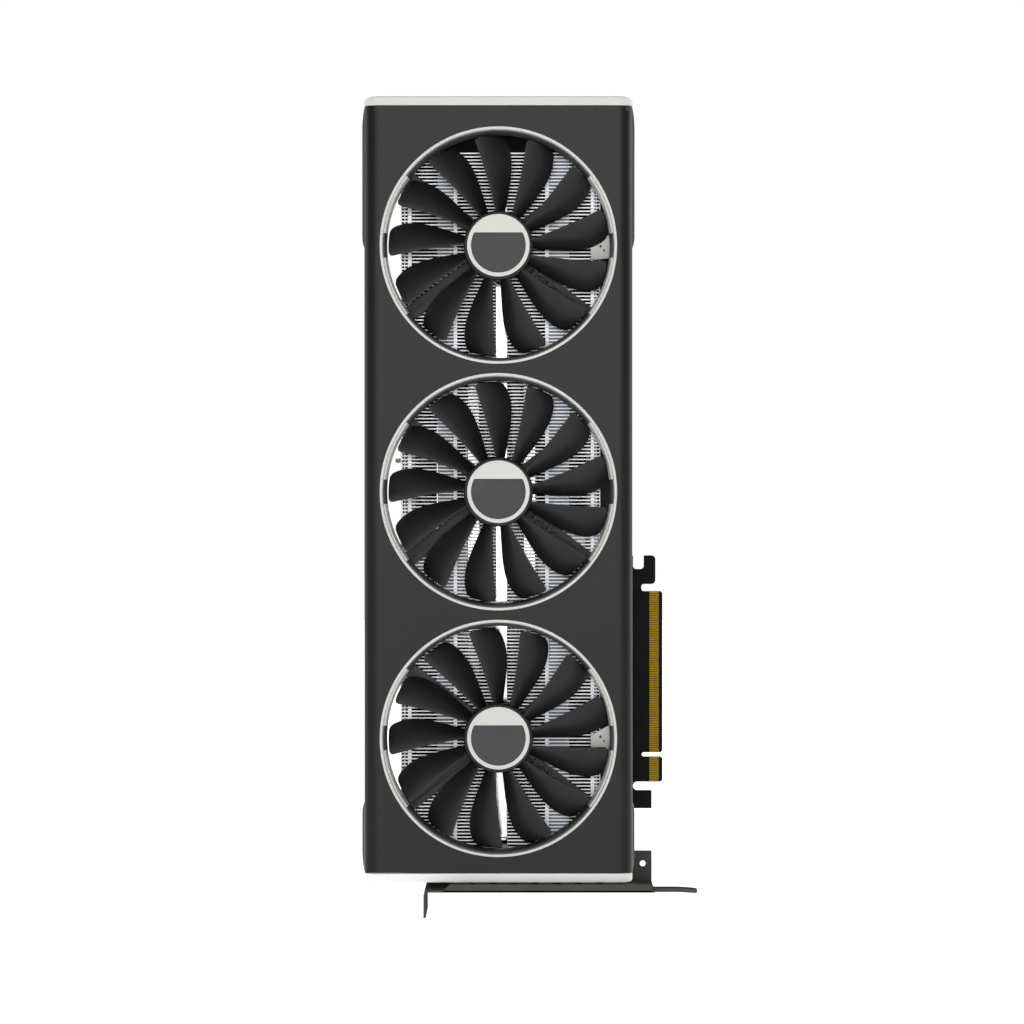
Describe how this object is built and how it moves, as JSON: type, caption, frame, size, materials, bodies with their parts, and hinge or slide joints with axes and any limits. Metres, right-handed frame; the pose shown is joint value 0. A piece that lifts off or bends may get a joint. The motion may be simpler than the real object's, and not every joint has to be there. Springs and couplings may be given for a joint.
{
  "type": "graphics card",
  "caption": "Long graphics card: a dark cooler with round bright-rimmed fans in a row, a board with gold edge contacts, and a steel slot bracket with a bent screw tab.",
  "frame": {"origin": "on the slot bracket's outer face, at the circuit board's mid-plane and on the line of the fan axes", "axes": "+Z along the card away from its slot bracket, -Y out of the fans, +X out of the edge connector; the backplate faces +Y"},
  "size_m": [0.1467, 0.0632, 0.3592],
  "materials": {
    "shell": "satin moulded plastic, dark grey",
    "bright_trim": "silver-white lacquer, satin",
    "blade": "satin moulded plastic, near black",
    "strut": "moulded plastic, dark grey",
    "badge": "plain grey print, satin",
    "winding": "enamelled copper on a laminated core",
    "magnet": "bonded ferrite, dull",
    "fin": "mill finish sheet",
    "nickel": "nickel plate, satin",
    "black_metal": "fine black powder coat",
    "board": "black solder mask",
    "package": "laminate with a bare silicon die",
    "socket_shell": "nickel-plated steel",
    "socket_plastic": "black moulded plastic",
    "lever_plastic": "white moulded plastic",
    "screw_steel": "zinc-plated steel",
    "bracket_metal": "dark nickel on pressed steel",
    "contacts": "gold plate on copper"
  },
  "bodies": {
    "root": {"shroud": "shell", "bracket_trim": "bright_trim", "tail_trim": "bright_trim", "ring_trim_1": "bright_trim", "fan_frame_1": "strut", "fan_stator_1": "winding", "ring_trim_2": "bright_trim", "fan_frame_2": "strut", "fan_stator_2": "winding", "ring_trim_3": "bright_trim", "fan_frame_3": "strut", "fan_stator_3": "winding", "fin_stack_left": "fin", "fin_stack_right": "fin", "round_pipe_left": "nickel", "round_pipe_right": "nickel", "flat_pipe_1": "nickel", "flat_pipe_2": "nickel", "flat_pipe_3": "nickel", "cold_plate": "nickel", "mid_plate": "black_metal", "circuit_board": "board", "processor": "package", "cross_spring": "black_metal", "spring_screw_1": "screw_steel", "spring_screw_2": "screw_steel", "spring_screw_3": "screw_steel", "spring_screw_4": "screw_steel", "display_socket_1": "socket_shell", "display_socket_2": "socket_shell", "display_socket_3": "socket_shell", "display_socket_4": "socket_shell", "power_socket_1": "socket_plastic", "power_socket_2": "socket_plastic", "firmware_switch": "socket_plastic", "backplate": "black_metal", "slot_bracket": "bracket_metal"},
    "fan_1": {"impeller_1": "blade", "magnet_ring_1": "magnet", "shaft_1": "screw_steel", "hub_plate_1": "bright_trim", "hub_badge_1": "badge"},
    "fan_2": {"impeller_2": "blade", "magnet_ring_2": "magnet", "shaft_2": "screw_steel", "hub_plate_2": "bright_trim", "hub_badge_2": "badge"},
    "fan_3": {"impeller_3": "blade", "magnet_ring_3": "magnet", "shaft_3": "screw_steel", "hub_plate_3": "bright_trim", "hub_badge_3": "badge"},
    "switch_lever": {"firmware_switch_lever": "lever_plastic"}
  },
  "joints": [
    {"name": "fan_1_spin", "type": "hinge", "parent": "root", "child": "fan_1", "pos_m": [0, -0.042, 0.0671], "axis": [0, 1, 0], "continuous": true},
    {"name": "fan_2_spin", "type": "hinge", "parent": "root", "child": "fan_2", "pos_m": [0, -0.042, 0.175], "axis": [0, 1, 0], "continuous": true},
    {"name": "fan_3_spin", "type": "hinge", "parent": "root", "child": "fan_3", "pos_m": [0, -0.042, 0.2829], "axis": [0, 1, 0], "continuous": true},
    {"name": "switch_slide", "type": "slide", "parent": "root", "child": "switch_lever", "axis": [0, 0, 1], "range_m": [0, 0.002]}
  ]
}
